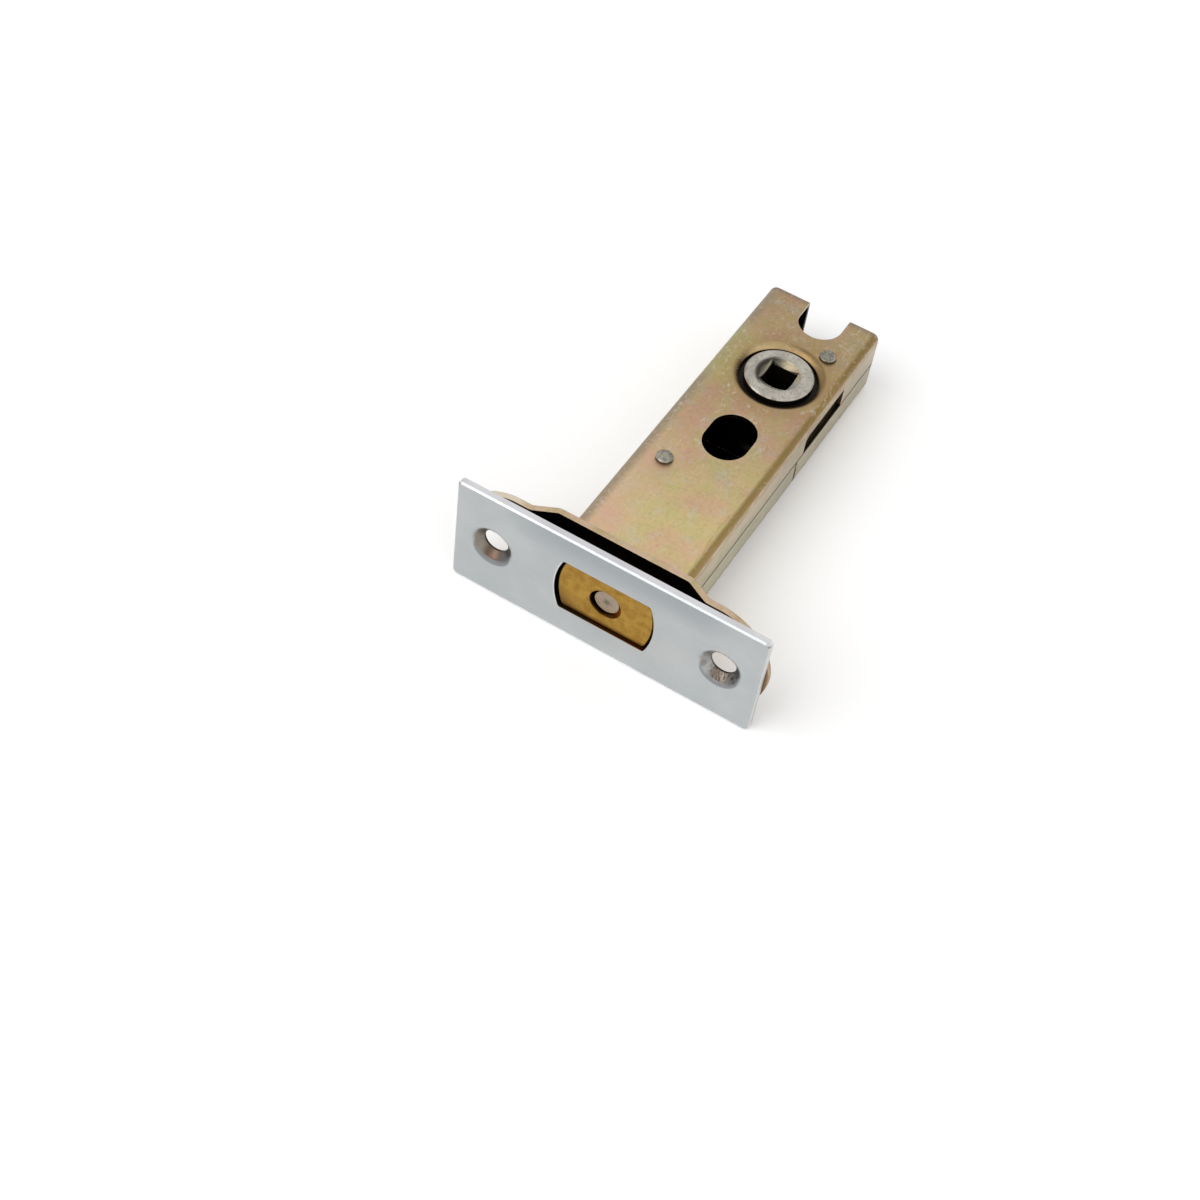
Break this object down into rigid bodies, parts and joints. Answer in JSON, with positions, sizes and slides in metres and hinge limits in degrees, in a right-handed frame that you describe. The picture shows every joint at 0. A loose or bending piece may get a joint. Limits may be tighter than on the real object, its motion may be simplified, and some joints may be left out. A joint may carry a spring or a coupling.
{
  "type": "tubular mortice deadbolt",
  "caption": "Tubular mortice deadbolt, bolt drawn back: screwed forend, folded steel case, brass bolt and a square-holed follower with through-fixing openings.",
  "frame": {"origin": "centre of the forend's outer face, on the bolt's axis and midway between the two screws; the drawn-back bolt's end stands 0.6 mm behind it", "axes": "+Y back along the case into the door, the bolt shoots along -Y; +Z along the spindle's axis, out of the case's upper face; +X along the forend's long side"},
  "size_m": [0.061, 0.0811, 0.024],
  "materials": {
    "satin_plated_steel": "satin nickel-coloured plate",
    "yellow_passivated_steel": "yellow passivated zinc, mottled pink and green",
    "bolt_brass": "sawn and lightly brushed",
    "zinc_plated_steel": "dull zinc plate",
    "bright_steel": "turned",
    "sintered_steel": "matt, granular",
    "spring_steel": "blued"
  },
  "bodies": {
    "lock_case": {"forend_plate": "satin_plated_steel", "inner_strip": "yellow_passivated_steel", "upper_shell": "yellow_passivated_steel", "lower_shell": "yellow_passivated_steel", "rear_cover": "yellow_passivated_steel", "front_rivet": "bright_steel", "rear_rivet": "bright_steel", "detent_spring": "spring_steel"},
    "bolt": {"bolt_head": "bolt_brass", "bolt_tail": "zinc_plated_steel", "tail_spigot": "bright_steel"},
    "spindle_follower": {"follower": "sintered_steel"}
  },
  "joints": [
    {"name": "bolt_slide", "type": "slide", "parent": "lock_case", "child": "bolt", "axis": [0, -1, 0], "range_m": [0, 0.01497]},
    {"name": "follower_turn", "type": "hinge", "parent": "lock_case", "child": "spindle_follower", "pos_m": [0.0009, 0.06, 0], "axis": [0, 0, 1], "range_deg": [-90, 0], "deforming": ["detent_spring"]}
  ],
  "couplings": [
    {"joint": "follower_turn", "follows": "bolt_slide", "rad_per_m": -104.92}
  ]
}
